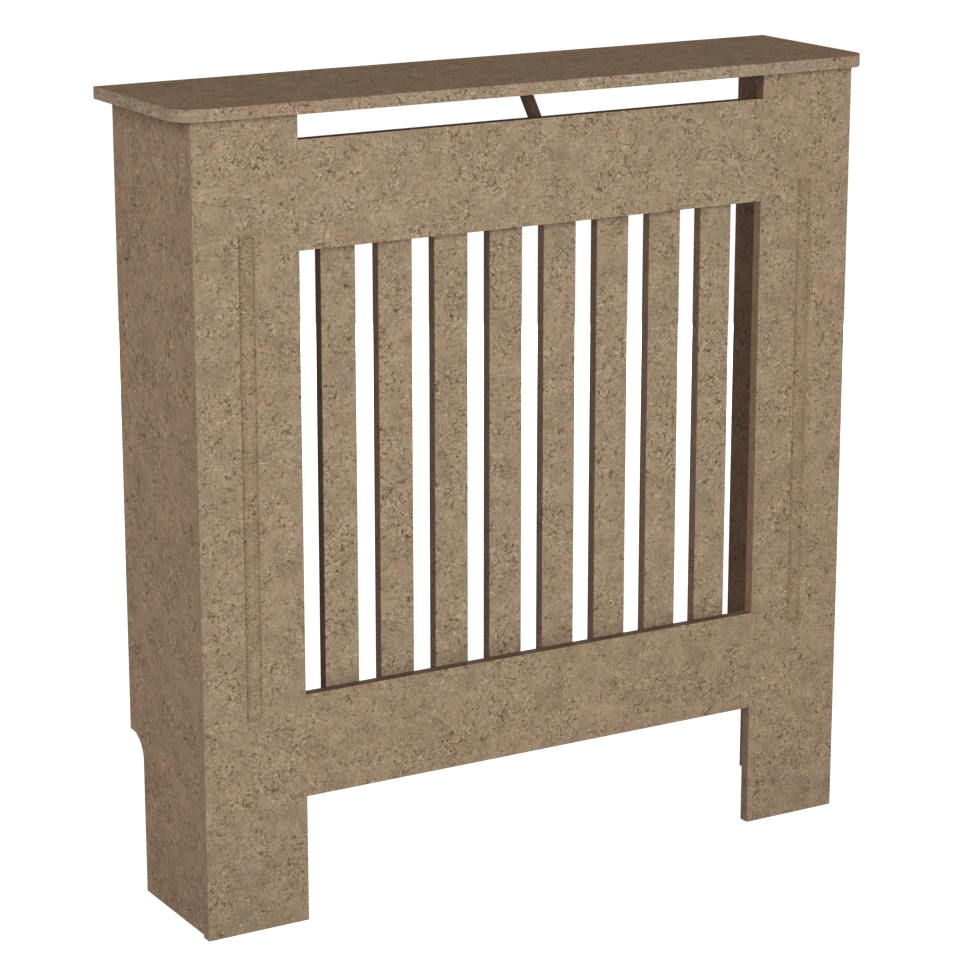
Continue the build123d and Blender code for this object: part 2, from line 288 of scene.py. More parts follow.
@dataclass(frozen=True)
class Groove:
    """Routed groove in the front of a board: painted shade darkens its floor along the walls, and
    painted light brightens the walls.
    """

    low: Triple  # lower corner of the groove's box, in metres
    high: Triple
    # painted shade on the floor beside the walls, which keep the light off it
    painted_shade_width: float = 9.0 * MM
    far_wall_shade: float = 0.7  # share of the painted shade that is left beside the far wall
    lip: float = 0.3 * MM  # depth of the eased edge, which keeps the board's colour
    margin: float = 0.1 * MM  # reach of the tint past the groove's own walls and floor
    floor_shade_tone: Triple = (0.985, 0.96, 0.945)  # painted shade over the floor; the board's colour is multiplied by these
    painted_shade_tone: Triple = (0.77, 0.73, 0.70)
    # painted light on the groove's walls, about twice their own colour
    painted_wall_light: Triple = (1.95, 2.3, 2.25)

    def tint(self, shader: Shader, place: Value, face: Value) -> Value:
        """Return the colour that the board's own is multiplied by, in and around the groove.

        Args:
            shader: The board's shader.
            place: The place on the surface, in metres.
            face: 1 on the board's faces and 0 on its edges and the groove's walls.

        Returns:
            The colour, white outside the groove.
        """
        across, depth, up = (shader.axis(place, index) for index in range(3))
        inset, end_inset = self._inset(across, 0), self._inset(up, 2)
        edge = shader.ramp(inset.least(end_inset), self.painted_shade_width, 0.0)
        edge = edge * shader.ramp(across, self.low[0], self.high[0], 1.0, self.far_wall_shade)
        floor = shader.mix(edge, self.floor_shade_tone, self.painted_shade_tone)
        below = depth.above(self.low[1] + self.lip) - depth.above(self.high[1] + self.margin)
        within = inset.above(-self.margin) * end_inset.above(-self.margin)
        return shader.mix(below * within, FULL, shader.mix(face, self.painted_wall_light, floor))

    def _inset(self, along: Value, index: int) -> Value:
        """Return how far a coordinate lies inside the groove's box, below 0 where it lies outside."""
        low, high = self.low[index], self.high[index]
        return (high - low) / 2 - abs(along - (low + high) / 2)


class Faces(Enum):
    """Which of a board's faces are meant."""

    ALL = "every face"
    OUTER = "the face that looks out of the cover"
    INWARD = "those that look from the cover's left or right to its middle"


@dataclass(frozen=True)
class Shade:
    """Darkening near a neighbour that keeps the light off, strongest at one level."""

    level: float  # in metres
    reach: float  # how far above the level it ends, or below it where this is negative
    tone: float  # the board's colour is multiplied by this at the level
    faces: Faces = Faces.ALL

    def strength(self, shader: Shader, height: Value, masks: dict[Faces, Term]) -> Value:
        """Return what the colour is multiplied by, where the masks are 1 on the faces they name."""
        loss = shader.ramp(height, self.level, self.level + self.reach, 1.0 - self.tone, 0.0)
        return 1.0 - loss * masks[self.faces]


@dataclass(frozen=True)
class Strands:
    """One sort of loose fibre in the felt: curled strokes of one size and strength."""

    size: float  # millimetres between neighbouring strokes
    width: float  # how far a cloud's value may be from its middle on a stroke
    cover: float  # share of the strokes that are laid, 0 to 1
    strength: float
    seed: float
    solid: float = 0.2  # share of the width that has the full strength
    gap_size: float = 0.62  # size of the gaps' clouds, in shares of the strokes' size
    gap_edge: float = 0.3  # how far the cover moves the value at which a gap begins
    gap_fade: Ramp = (-0.03, 0.05)  # around that value

    def laid(self, shader: Shader, felt: Value) -> Value:
        """Lay the strokes where a cloud passes through its middle, and break them up by another.

        Args:
            shader: The board's shader.
            felt: The place in the felt, in millimetres.

        Returns:
            The strength on the strokes and 0 between them.
        """
        place = shader.mapped(felt, move=(self.seed, 2 * self.seed, 3 * self.seed))
        ridge = abs(shader.noise(place, self.size, detail=0.0) - HALF)
        beside = shader.mapped(place, move=(self.size, 0, 0))
        gaps = shader.noise(beside, self.gap_size * self.size, detail=1.0)
        edge = HALF + self.gap_edge * (HALF - self.cover)
        line = shader.ramp(ridge, self.width, self.solid * self.width)
        return line * shader.ramp(gaps, *(edge + fade for fade in self.gap_fade)) * self.strength


@dataclass(frozen=True)
class Specks:
    """One sort of small spot, thinly strewn over the felt."""

    mesh: float  # millimetres between the places where one may lie
    radii: Ramp  # where its edge ends and begins, in shares of the mesh
    left_out: float  # share of the places that stay empty
    strength: float
    colour: Triple

    def laid(self, shader: Shader, felt: Value, colour: Value) -> Value:
        """Lay the spots over the felt.

        Args:
            shader: The board's shader.
            felt: The place in the felt, in millimetres.
            colour: The felt's colour.

        Returns:
            The colour with the spots.
        """
        near, tag = shader.cells(felt, self.mesh)
        spot = shader.ramp(near, *self.radii) * shader.channel(tag, 1).above(self.left_out)
        return shader.mix(spot * self.strength, colour, self.colour)


@dataclass(frozen=True)
class FibreBoard:
    """Raw medium-density fibreboard: a felt of fine fibres with flecks, specks and bark chips."""

    lay: Lay
    stretch: Triple = NONE  # where in the sheet the board was cut, in millimetres
    pinkness: float = HALF  # 0 for the greyest sheet, 1 for the pinkest
    contrast: float = 1.0  # of the fibres and flecks
    coarseness: float = 1.0  # size of everything in the felt
    face_tone: Triple = FULL  # this board's colour against the others', with painted shade on the sides and the shelf's top
    edge_tone: Triple = FULL  # the same, on its cut edges, with painted shade on the rails, slats and strut
    inner_shade_tone: Optional[Triple] = None  # painted shade: the same, on the face that looks into the cover
    outward: int = 1  # way that the outer face looks, along the axis of the lay
    groove: Optional[Groove] = None
    shades: Sequence[Shade] = ()

    green_grey: Triple = linear(152, 136, 109)
    pink_brown: Triple = linear(157, 133, 108)
    lavender_grey: Triple = linear(152, 134, 112)
    fleck_brown: Triple = linear(86, 64, 43)
    fibre_brown: Triple = linear(103, 79, 55)
    fibre_pale: Triple = linear(203, 183, 158)

    # sizes and meshes are in millimetres
    squash: float = 2.2  # fibres are this much thinner across the board than along it
    dark_strands: tuple[Strands, ...] = (
        Strands(3.9, 0.100, 0.50, 0.40, 11.0),
        Strands(7.0, 0.075, 0.36, 0.66, 47.0),
    )
    pale_strands: tuple[Strands, ...] = (
        Strands(3.5, 0.110, 0.55, 0.30, 23.0),
        Strands(6.5, 0.065, 0.40, 0.45, 71.0),
    )
    specks: tuple[Specks, ...] = (
        Specks(34.0, (0.030, 0.018), 0.35, 0.9, linear(34, 26, 20)),
        Specks(85.0, (0.026, 0.010), 0.45, 0.6, linear(205, 188, 158)),
    )
    fleck_mesh: float = 5.0
    fleck_radii: Ramp = (0.36, 0.14)  # in shares of the mesh
    fleck_choice: Ramp = (0.5, 1.0)  # from a fleck's tag to its strength
    fleck_strength: float = 0.75
    curl_mesh: float = 2.6  # of the lattice that bends the flecks
    curl: float = 0.8
    grain_size: float = 3.2
    grain_contrast: float = 0.6
    cloud_size: float = 18.0
    cloud_contrast: float = 0.90
    busy_size: float = 26.0
    busy_ramp: Ramp = (0.35, 0.65, 0.6, 1.3)
    tint_size: float = 14.0
    tint_ramp: Ramp = (0.47, 0.97)
    blotch_size: float = 90.0
    blotch_share: float = 0.44  # of the wide blotches, added to the fine tint
    smudge_size: float = 12.0
    smudge_move: Triple = (31, 17, 5)
    smudge_ramp: Ramp = (0.5, 0.7)
    roughness: float = 0.82
    roughness_range: float = 0.2
    shine: float = 0.1
    relief: float = 0.2
    relief_depth: float = 0.12 * MM
    middle_gap: float = 0.1  # inward faces are further than this from the middle, in metres

    def material(self, name: str) -> Material:
        """Draw the finish.

        Args:
            name: The new material's name.

        Returns:
            The material.
        """
        shader = Shader(bpy.data.materials.new(name))
        place = shader.own("Object")
        to_sheet = (1 / MM / self.coarseness,) * 3
        sheet = shader.mapped(place, self.stretch, self.lay.turn(), to_sheet)
        felt = shader.mapped(sheet, scale=(1.0, 1.0, self.squash))

        busy = shader.ramp(shader.noise(sheet, self.busy_size), *self.busy_ramp) * self.contrast
        cloud = shader.noise(felt, self.cloud_size, detail=3.0, roughness=0.6)
        grain = shader.noise(felt, self.grain_size, roughness=0.7)
        colour = self._ground(shader, sheet, felt)
        light = (cloud - HALF) * self.cloud_contrast
        light = 1.0 + light + (grain - HALF) * self.grain_contrast * busy
        colour = shader.shade(colour, light)
        for sort in self.pale_strands:
            colour = shader.mix(sort.laid(shader, felt) * busy, colour, self.fibre_pale)
        for sort in self.dark_strands:
            colour = shader.mix(sort.laid(shader, felt) * busy, colour, self.fibre_brown)
        colour = self._flecks(shader, felt, busy, colour)
        for sort in self.specks:
            colour = sort.laid(shader, felt, colour)
        return shader.finish(
            Base_Color=self._toned(shader, place, colour),
            Roughness=self.roughness + (grain - HALF) * self.roughness_range,
            Specular_IOR_Level=self.shine,
            Normal=shader.bump(grain + cloud, self.relief, self.relief_depth),
        )

    def _ground(self, shader: Shader, sheet: Value, felt: Value) -> Value:
        """Colour the pressed dust that the fibres lie in.

        Args:
            shader: The board's shader.
            sheet: The place in the sheet, in millimetres.
            felt: The same place in the felt, whose fibres are squashed across the board.

        Returns:
            The colour.
        """
        blotch = shader.noise(sheet, self.blotch_size, detail=1.0) * self.blotch_share
        blotch = blotch + shader.noise(felt, self.tint_size, detail=1.0)
        tint = shader.ramp(blotch + (self.pinkness - HALF), *self.tint_ramp)
        colour = shader.mix(tint, self.green_grey, self.pink_brown)
        beside = shader.mapped(felt, move=self.smudge_move)
        smudge = shader.noise(beside, self.smudge_size, detail=1.0)
        return shader.mix(shader.ramp(smudge, *self.smudge_ramp), colour, self.lavender_grey)

    def _flecks(self, shader: Shader, felt: Value, busy: Value, colour: Value) -> Value:
        """Lay curled dark flecks over the felt.

        Args:
            shader: The board's shader.
            felt: The place in the felt, in millimetres.
            busy: What the flecks' strength is multiplied by at this place.
            colour: The felt's colour.

        Returns:
            The colour with the flecks.
        """
        curled = shader.shift(felt, shader.cells(felt, self.curl_mesh)[1], self.curl)
        near, tag = shader.cells(curled, self.fleck_mesh)
        chosen = shader.ramp(shader.channel(tag, 0), *self.fleck_choice)
        fleck = shader.ramp(near, *self.fleck_radii) * chosen * busy * self.fleck_strength
        return shader.mix(fleck, colour, self.fleck_brown)

    def _toned(self, shader: Shader, place: Value, colour: Value) -> Value:
        """Give the felt the tones of the board's faces, edges, groove and shades.

        Args:
            shader: The board's shader.
            place: The place on the surface, in metres.
            colour: The felt's colour.

        Returns:
            The board's colour.
        """
        facing = self.lay.across(shader) * self.outward
        face = abs(facing).above(HALF)
        outer = facing.above(HALF)
        tone = shader.mix(face, self.edge_tone, self.inner_shade_tone or self.face_tone)
        colour = shader.tinted(colour, shader.mix(outer, tone, self.face_tone))
        if self.groove:
            colour = shader.tinted(colour, self.groove.tint(shader, place, face))
        inward = shader.axis(shader.own("Normal"), 0) * shader.axis(place, 0) * -1.0
        masks = {Faces.ALL: 1.0, Faces.OUTER: outer, Faces.INWARD: inward.above(self.middle_gap)}
        for shade in self.shades:
            colour = shader.shade(colour, shade.strength(shader, shader.axis(place, 2), masks))
        return colour


@dataclass(frozen=True)
class Wood:
    """Planed or turned solid wood, with growth rings drawn out along its length."""

    early: Triple  # the pale wood of spring
    late: Triple  # the dark line of autumn
    grain_turn: Triple  # turn that brings the length of the piece to X
    ring_width: float = 4.5  # millimetres
    ring_contrast: float = 0.6
    ray_contrast: float = 0.25
    roughness: float = 0.6
    roughness_range: float = 0.2
    relief: float = 0.2
    relief_depth: float = 0.08 * MM
    drawn_out: float = 0.045  # how fast the rings change along the piece, against across it
    heart: Triple = (0.0, 31.0, -17.0)  # from the tree's middle to the piece's, in millimetres
    ring_scale: float = 0.314  # of the wave texture, for rings one unit apart
    ring_ramp: Ramp = (0.55, 0.95)
    ring_bend: float = 2.4  # how far the rings stray from plain circles
    ring_detail: float = 2.0  # of the bends
    ring_detail_scale: float = 0.7
    pore_stretch: Triple = (0.08, 2.2, 2.2)  # how fast the pores change along and across the piece

    def material(self, name: str) -> Material:
        """Draw the finish.

        Args:
            name: The new material's name.

        Returns:
            The material.
        """
        shader = Shader(bpy.data.materials.new(name))
        place = shader.in_millimetres(self.grain_turn)
        drawn = shader.mapped(place, scale=(self.drawn_out, 1.0, 1.0))
        rings = shader.node(
            "TexWave",
            {"wave_type": "RINGS", "rings_direction": "X", "wave_profile": "SAW"},
            {
                "Vector": shader.mapped(drawn, move=self.heart),
                "Scale": self.ring_scale / self.ring_width,
                "Distortion": self.ring_bend,
                "Detail": self.ring_detail,
                "Detail Scale": self.ring_detail_scale,
            },
            "Fac",
        )
        late = shader.ramp(rings, *self.ring_ramp) * self.ring_contrast
        pores = shader.noise(shader.mapped(place, scale=self.pore_stretch), 1.0, roughness=0.6)
        shade = 1.0 + (pores - HALF) * self.ray_contrast
        colour = shader.shade(shader.mix(late, self.early, self.late), shade)
        return shader.finish(
            Base_Color=colour,
            Roughness=self.roughness + (pores - HALF) * self.roughness_range,
            Normal=shader.bump(pores, self.relief, self.relief_depth),
        )


@dataclass(frozen=True)
class ZincPlate:
    """Steel under zinc, bright or passivated yellow, with the cloudy tints of the bath."""

    clear: Triple
    tinted: Triple
    cloud_size: float  # millimetres
    roughness: float = 0.34
    cloud_ramp: Ramp = (0.35, 0.65)
    cloud_roughness: float = 0.3
    scuff_roughness: float = 0.12
    scuff_size: float = 0.6
    scuff_stretch: Triple = (0.25, 1.0, 1.0)
    relief: float = 0.15
    relief_depth: float = 0.03 * MM

    def material(self, name: str) -> Material:
        """Draw the finish.

        Args:
            name: The new material's name.

        Returns:
            The material.
        """
        shader = Shader(bpy.data.materials.new(name))
        place = shader.in_millimetres()
        cloud = shader.noise(place, self.cloud_size, detail=3.0, roughness=0.55)
        drawn = shader.mapped(place, scale=self.scuff_stretch)
        scuff = shader.noise(drawn, self.scuff_size, roughness=0.6)
        roughness = self.roughness + (cloud - HALF) * self.cloud_roughness
        return shader.finish(
            Base_Color=shader.mix(shader.ramp(cloud, *self.cloud_ramp), self.clear, self.tinted),
            Metallic=1.0,
            Roughness=roughness + (scuff - HALF) * self.scuff_roughness,
            Normal=shader.bump(scuff, self.relief, self.relief_depth),
        )


Finish = Union[FibreBoard, Wood, ZincPlate]

UP_TO_X = (0.0, QUARTER, 0.0)  # brings a piece's height to X
BACK_TO_X = (0.0, 0.0, -QUARTER)  # brings a piece's depth to X

PINE_UPRIGHT = Wood(linear(222, 190, 145), linear(184, 135, 84), UP_TO_X)
PINE_LEVEL = Wood(linear(222, 190, 145), linear(184, 135, 84), BACK_TO_X)
BEECH = Wood(
    linear(211, 172, 130),
    linear(190, 146, 103),
    NONE,
    ring_width=1.6,
    ring_contrast=0.5,
    ray_contrast=0.4,
    roughness=0.5,
)
YELLOW_ZINC = ZincPlate(linear(214, 190, 120), linear(196, 160, 122), cloud_size=2.5)
BRIGHT_ZINC = ZincPlate(linear(174, 178, 184), linear(154, 159, 167), cloud_size=6.0, roughness=0.5)


# ---- modelling tools
def deselect_all() -> None:
    """Leave nothing selected, so that an operator acts on what is picked next."""
    bpy.ops.object.select_all(action="DESELECT")


def take_up(piece: Piece) -> None:
    """Make a piece the one that the next operators act on.

    Args:
        piece: The piece.
    """
    deselect_all()
    piece.select_set(True)
    bpy.context.view_layer.objects.active = piece


def spread(low: float, high: float, count: int) -> list[float]:
    """Return evenly spaced values from low to high, both included."""
    return [low + (high - low) * number / (count - 1) for number in range(count)]


@contextmanager
def editing() -> Iterator[None]:
    """Keep the active piece in edit mode for the length of the block.

    Yields:
        Nothing, once the piece is in edit mode.
    """
    bpy.ops.object.mode_set(mode="EDIT")
    yield
    bpy.ops.object.mode_set(mode="OBJECT")


def pick(kind: str, wanted: Callable[[Part], bool]) -> None:
    """Select, in edit mode, the parts of a mesh that pass a test and no others.

    Args:
        kind: The parts meant: "faces" or "edges".
        wanted: Takes one of them and says whether it is wanted.
    """
    bpy.ops.mesh.select_mode(type=kind[:-1].upper())
    bpy.ops.mesh.select_all(action="DESELECT")
    mesh = bpy.context.edit_object.data
    shape = bmesh.from_edit_mesh(mesh)
    for part in getattr(shape, kind):
        if wanted(part):
            part.select_set(True)
    bmesh.update_edit_mesh(mesh)


def pick_end(way: Triple, wanted: Callable[[Vector], bool] = lambda centre: True) -> None:
    """Select, in edit mode, the faces that look one way and whose centre passes a test."""
    looks = Vector(way)
    pick("faces", lambda face: face.normal.dot(looks) > SQUARE_ON and wanted(face.calc_center_median()))


def rise(edge: bmesh.types.BMEdge) -> float:
    """Return the difference in height between an edge's ends."""
    return abs(edge.verts[0].co.z - edge.verts[1].co.z)


def round_bar(sides: int, radius: float, low: float, high: float) -> Piece:
    """Add a plain round bar along Z.

    Args:
        sides: How many sides it has.
        radius: Its radius.
        low: The height of its lower end.
        high: The height of its upper end.

    Returns:
        The bar, with its origin at the world's.
    """
    deselect_all()
    place = (0, 0, (low + high) / 2)
    bpy.ops.mesh.primitive_cylinder_add(vertices=sides, radius=radius, depth=high - low, location=place)
    bpy.ops.object.transform_apply(location=True, rotation=False, scale=False)
    return bpy.context.active_object


def raise_end(radius: float, was: float, height: float) -> None:
    """Extrude the picked end of a round bar by a height, from one radius to a new one."""
    bpy.ops.mesh.extrude_region_move(TRANSFORM_OT_translate={"value": (0, 0, height)})
    bpy.ops.transform.resize(value=(radius / was, radius / was, 1), center_override=(0, 0, 0))


def finish_shape(piece: Piece, smooth_below: float = 35.0) -> None:
    """Turn a piece's faces outwards and smooth all but its sharp edges.

    Args:
        piece: The piece, in object mode.
        smooth_below: Edges that turn by less than this many degrees are smoothed.
    """
    take_up(piece)
    with editing():
        bpy.ops.mesh.select_all(action="SELECT")
        bpy.ops.mesh.remove_doubles(threshold=WELD)
        bpy.ops.mesh.normals_make_consistent(inside=False)
    bpy.ops.object.shade_smooth_by_angle(angle=math.radians(smooth_below))


@dataclass(frozen=True)
class Seat:
    """Place of a fastener: where its head sits and which way it looks out of the board."""

    point: Triple
    outward: Triple

    def matrix(self) -> Matrix:
        """Return the move that brings a fastener's origin and +Z to this seat."""
        turn = Vector(self.outward).to_track_quat("Z", "Y").to_matrix().to_4x4()
        return Matrix.Translation(self.point) @ turn


def place_copies(model: Piece, seats: Sequence[Seat]) -> list[Piece]:
    """Put a copy of a fastener, with a mesh of its own, at each seat.

    Args:
        model: The fastener, modelled at the origin and looking along +Z. It is used up.
        seats: Where the copies go.

    Returns:
        The copies.
    """
    copies = []
    for seat in seats:
        copy = bpy.data.objects.new(model.name, model.data.copy())
        copy.data.transform(seat.matrix())
        bpy.context.scene.collection.objects.link(copy)
        copies.append(copy)
    bpy.data.objects.remove(model)
    return copies


def stand_for(node: str, copies: Sequence[Piece], name: str, finish: Material) -> None:
    """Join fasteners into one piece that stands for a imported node.

    Args:
        node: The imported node.
        copies: The fasteners, each at its place.
        name: The piece's name.
        finish: The piece's material.
    """
    take_up(copies[0])
    for copy in copies:
        copy.select_set(True)
    bpy.ops.object.join()
    group = bpy.context.active_object
    group.name = name
    group.data.name = name
    group.data.materials.clear()
    group.data.materials.append(finish)
    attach(group, BODY)
    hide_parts(node)
    log.info("built %s: %d copies in place of %s", name, len(copies), node)


def dress(name: str, stuff: str, finish: Finish) -> None:
    """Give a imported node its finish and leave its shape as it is.

    Args:
        name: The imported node.
        stuff: What it is made of, which begins the material's name.
        finish: How that looks.
    """
    material = finish.material(f"{stuff}_{name}")
    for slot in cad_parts[name].material_slots:
        slot.material = material
    log.info("dressed %s in %s", name, material.name)


# ---- fasteners
class Head(Enum):
    """Kind of screw head."""

    COUNTERSUNK = "flat on top and level with the wood"
    PAN = "domed and standing on the wood"


@dataclass(frozen=True)
class WoodScrew:
    """Wood screw with a cross recess, a plain shank below the head, a thread and a point."""

    head: Head
    crest_radius: float
    head_radius: float
    length: float
    pitch: float = 1.9 * MM
    crest_place: float = 0.5  # of the thread's crest along each pitch, in shares
    flank: float = 2.6  # fall from the thread's crest to the core, per share of a pitch
    core_share: float = 0.66  # radius of the core against that of the crest
    plain_share: float = 0.22  # share of the length under the head that has no thread
    tip_length: float = 4.0 * MM
    blunt_radius: float = 0.12 * MM
    sides: int = 20
    rings_per_turn: int = 4
    rim_height: float = 0.1 * MM
    rim_straight: float = 0.6  # share of the rim below its chamfer
    pan_height: float = 1.8 * MM
    pan_fall: float = 0.35  # of the dome's radius, from its rim to its top
    pan_rings: int = 4
    recess_depth: float = 1.1 * MM
    recess_width: float = 0.8 * MM
    recess_span: float = 3.2 * MM
    recess_taper: float = 0.35  # width of its bottom against its top

    def build(self) -> Piece:
        """Model the screw.

        Returns:
            The screw at the origin, pointing down -Z, with its head's seat at z = 0.
        """
        top = self._neck()
        screw = round_bar(self.sides, self.crest_radius, -self.length, top)
        turns = (self.length + top) / self.pitch
        with editing():
            pick("edges", lambda edge: rise(edge) > self.tip_length)
            bpy.ops.mesh.subdivide(number_cuts=round(turns * self.rings_per_turn) - 1)
        for vertex in screw.data.vertices:
            self._cut_thread(vertex.co, top)
        with editing():
            self._form_head(top)
        self._cut_recess(screw)
        finish_shape(screw)
        return screw

    def _neck(self) -> float:
        """Find where the head begins.

        Returns:
            The height at which the core meets the head.
        """
        if self.head is Head.PAN:
            return 0.0
        return self.core_share * self.crest_radius - self.rim_height - self.head_radius

    def _cut_thread(self, point: Vector, top: float) -> None:
        """Move one point of the blank's wall to the thread, the plain shank or the tip.

        Args:
            point: The point, which is moved.
            top: The height at which the head begins.
        """
        if point.xy.length < self.blunt_radius:
            return
        turn = math.atan2(point.y, point.x) / math.tau
        phase = (point.z / self.pitch - turn) % 1.0
        ridge = max(0.0, 1.0 - self.flank * abs(phase - self.crest_place))
        core = self.core_share * self.crest_radius
        if point.z > top - self.plain_share * self.length:
            ridge = 0.0
        taper = min(1.0, (point.z + self.length) / self.tip_length)
        radius = max(self.blunt_radius, taper * (core + ridge * (self.crest_radius - core)))
        point.xy = point.xy.normalized() * radius

    def _form_head(self, top: float) -> None:
        """Draw the head up from the neck, ring by ring.

        Args:
            top: The height at which the head begins.
        """
        was = self.core_share * self.crest_radius
        if self.head is Head.COUNTERSUNK:
            chamfer = self.rim_height * (1 - self.rim_straight)
            rings = [
                (self.head_radius, self.head_radius - was),
                (self.head_radius, self.rim_height * self.rim_straight),
                (self.head_radius - chamfer, chamfer),
            ]
        else:
            turns = spread(0.0, QUARTER, self.pan_rings + 1)
            rings = [(self.head_radius, 0.0)] + [
                (
                    self.head_radius * (1 - self.pan_fall * (1 - math.cos(turn))),
                    self.pan_height * (math.sin(turn) - math.sin(before)),
                )
                for before, turn in zip(turns, turns[1:])
            ]
        pick_end((0, 0, 1), lambda centre: centre.z > top - TOUCH)
        for radius, height in rings:
            raise_end(radius, was, height)
            was = radius

    def _cut_recess(self, screw: Piece) -> None:
        """Cut the cross recess into the top of the head.

        Args:
            screw: The screw, which is cut.
        """
        top = self.pan_height if self.head is Head.PAN else 0.0
        deselect_all()
        bpy.ops.mesh.primitive_cube_add(size=1, location=(0, 0, 0))
        cutter = bpy.context.active_object
        with editing():
            width = self.recess_width
            bpy.ops.transform.resize(value=(width, width, 2 * self.recess_depth))
            for way in (Vector((1, 0, 0)), Vector((-1, 0, 0)), Vector((0, 1, 0)), Vector((0, -1, 0))):
                arm = way * (self.recess_span - width) / 2
                pick_end(way)
                bpy.ops.mesh.extrude_region_move(TRANSFORM_OT_translate={"value": arm})
            pick_end((0, 0, -1))
            taper = self.recess_taper
            bpy.ops.transform.resize(value=(taper, taper, 1), center_override=(0, 0, 0))
            bpy.ops.mesh.select_all(action="SELECT")
            bpy.ops.transform.translate(value=(0, 0, top))
        take_up(screw)
        cut = screw.modifiers.new("recess", "BOOLEAN")
        cut.operation = "DIFFERENCE"
        cut.solver = "EXACT"
        cut.object = cutter
        bpy.ops.object.modifier_apply(modifier=cut.name)
        bpy.data.objects.remove(cutter)


@dataclass(frozen=True)
class Dowel:
    """Turned dowel with chamfered ends and flutes that let the glue escape."""

    radius: float = 3.0 * MM
    length: float = 30.0 * MM
    flutes: int = 16
    sides_per_flute: int = 4
    flute_depth: float = 0.28 * MM
    chamfer: float = 0.7 * MM

    def build(self) -> Piece:
        """Model the dowel.

        Returns:
            The dowel, centred on the origin and lying along Z.
        """
        sides = self.sides_per_flute * self.flutes
        dowel = round_bar(sides, self.radius, -self.length / 2, self.length / 2)
        with editing():
            pick("edges", lambda edge: rise(edge) < self.chamfer)
            bpy.ops.mesh.bevel(offset=self.chamfer, segments=2, affect="EDGES")
        for vertex in dowel.data.vertices:
            turn = math.atan2(vertex.co.y, vertex.co.x)
            groove = max(0.0, -math.cos(turn * self.flutes))
            edge = vertex.co.xy.length / self.radius
            vertex.co.xy *= 1 - groove * edge * self.flute_depth / self.radius
        finish_shape(dowel, smooth_below=25.0)
        return dowel


@dataclass(frozen=True)
class PanelPin:
    """Lost-head pin: a thin wire with a small head punched below the surface and a cut point."""

    length: float
    head_radius: float = 0.8 * MM
    wire_radius: float = 0.6 * MM
    head_height: float = 0.9 * MM
    neck_height: float = 0.5 * MM
    tip_length: float = 2.0 * MM
    tip_radius: float = 0.08 * MM
    punch_depth: float = 0.15 * MM
    punch_share: float = 0.5  # radius of the dent against the head's, and of its floor against its own
    sides: int = 16

    def build(self) -> Piece:
        """Model the pin.

        Returns:
            The pin at the origin, with its head's top at z = 0 and its point down -Z.
        """
        head, wire = self.head_radius, self.wire_radius
        dent = self.punch_share * head
        top = -self.head_height - self.neck_height
        pin = round_bar(self.sides, wire, self.tip_length - self.length, top)
        with editing():
            pick_end((0, 0, 1))
            raise_end(head, wire, self.neck_height)
            raise_end(head, head, self.head_height)
            raise_end(dent, head, 0.0)
            raise_end(self.punch_share * dent, dent, -self.punch_depth)
            pick_end((0, 0, -1), lambda centre: centre.z < -self.length / 2)
            raise_end(self.tip_radius, wire, -self.tip_length)
        finish_shape(pin)
        return pin


SIDES = {"left": -1, "right": 1}
RIGHT, BACK, DOWN = (1, 0, 0), (0, 1, 0), (0, 0, -1)
UNDER_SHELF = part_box("top_shelf")[0].z
OPENING_LOW, OPENING_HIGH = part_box("bottom_rail")[1].z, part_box("top_rail")[0].z
NEAR_FLOOR = Shade(0.0, 120 * MM, 0.92)
SLAT_SCREW = WoodScrew(Head.PAN, 1.5 * MM, 3.2 * MM, 20 * MM, pitch=1.6 * MM)
LONG_SCREW = WoodScrew(Head.COUNTERSUNK, 1.75 * MM, 3.5 * MM, 25 * MM)
SHORT_SCREW = WoodScrew(Head.PAN, 1.5 * MM, 3.2 * MM, 11 * MM, pitch=1.6 * MM)


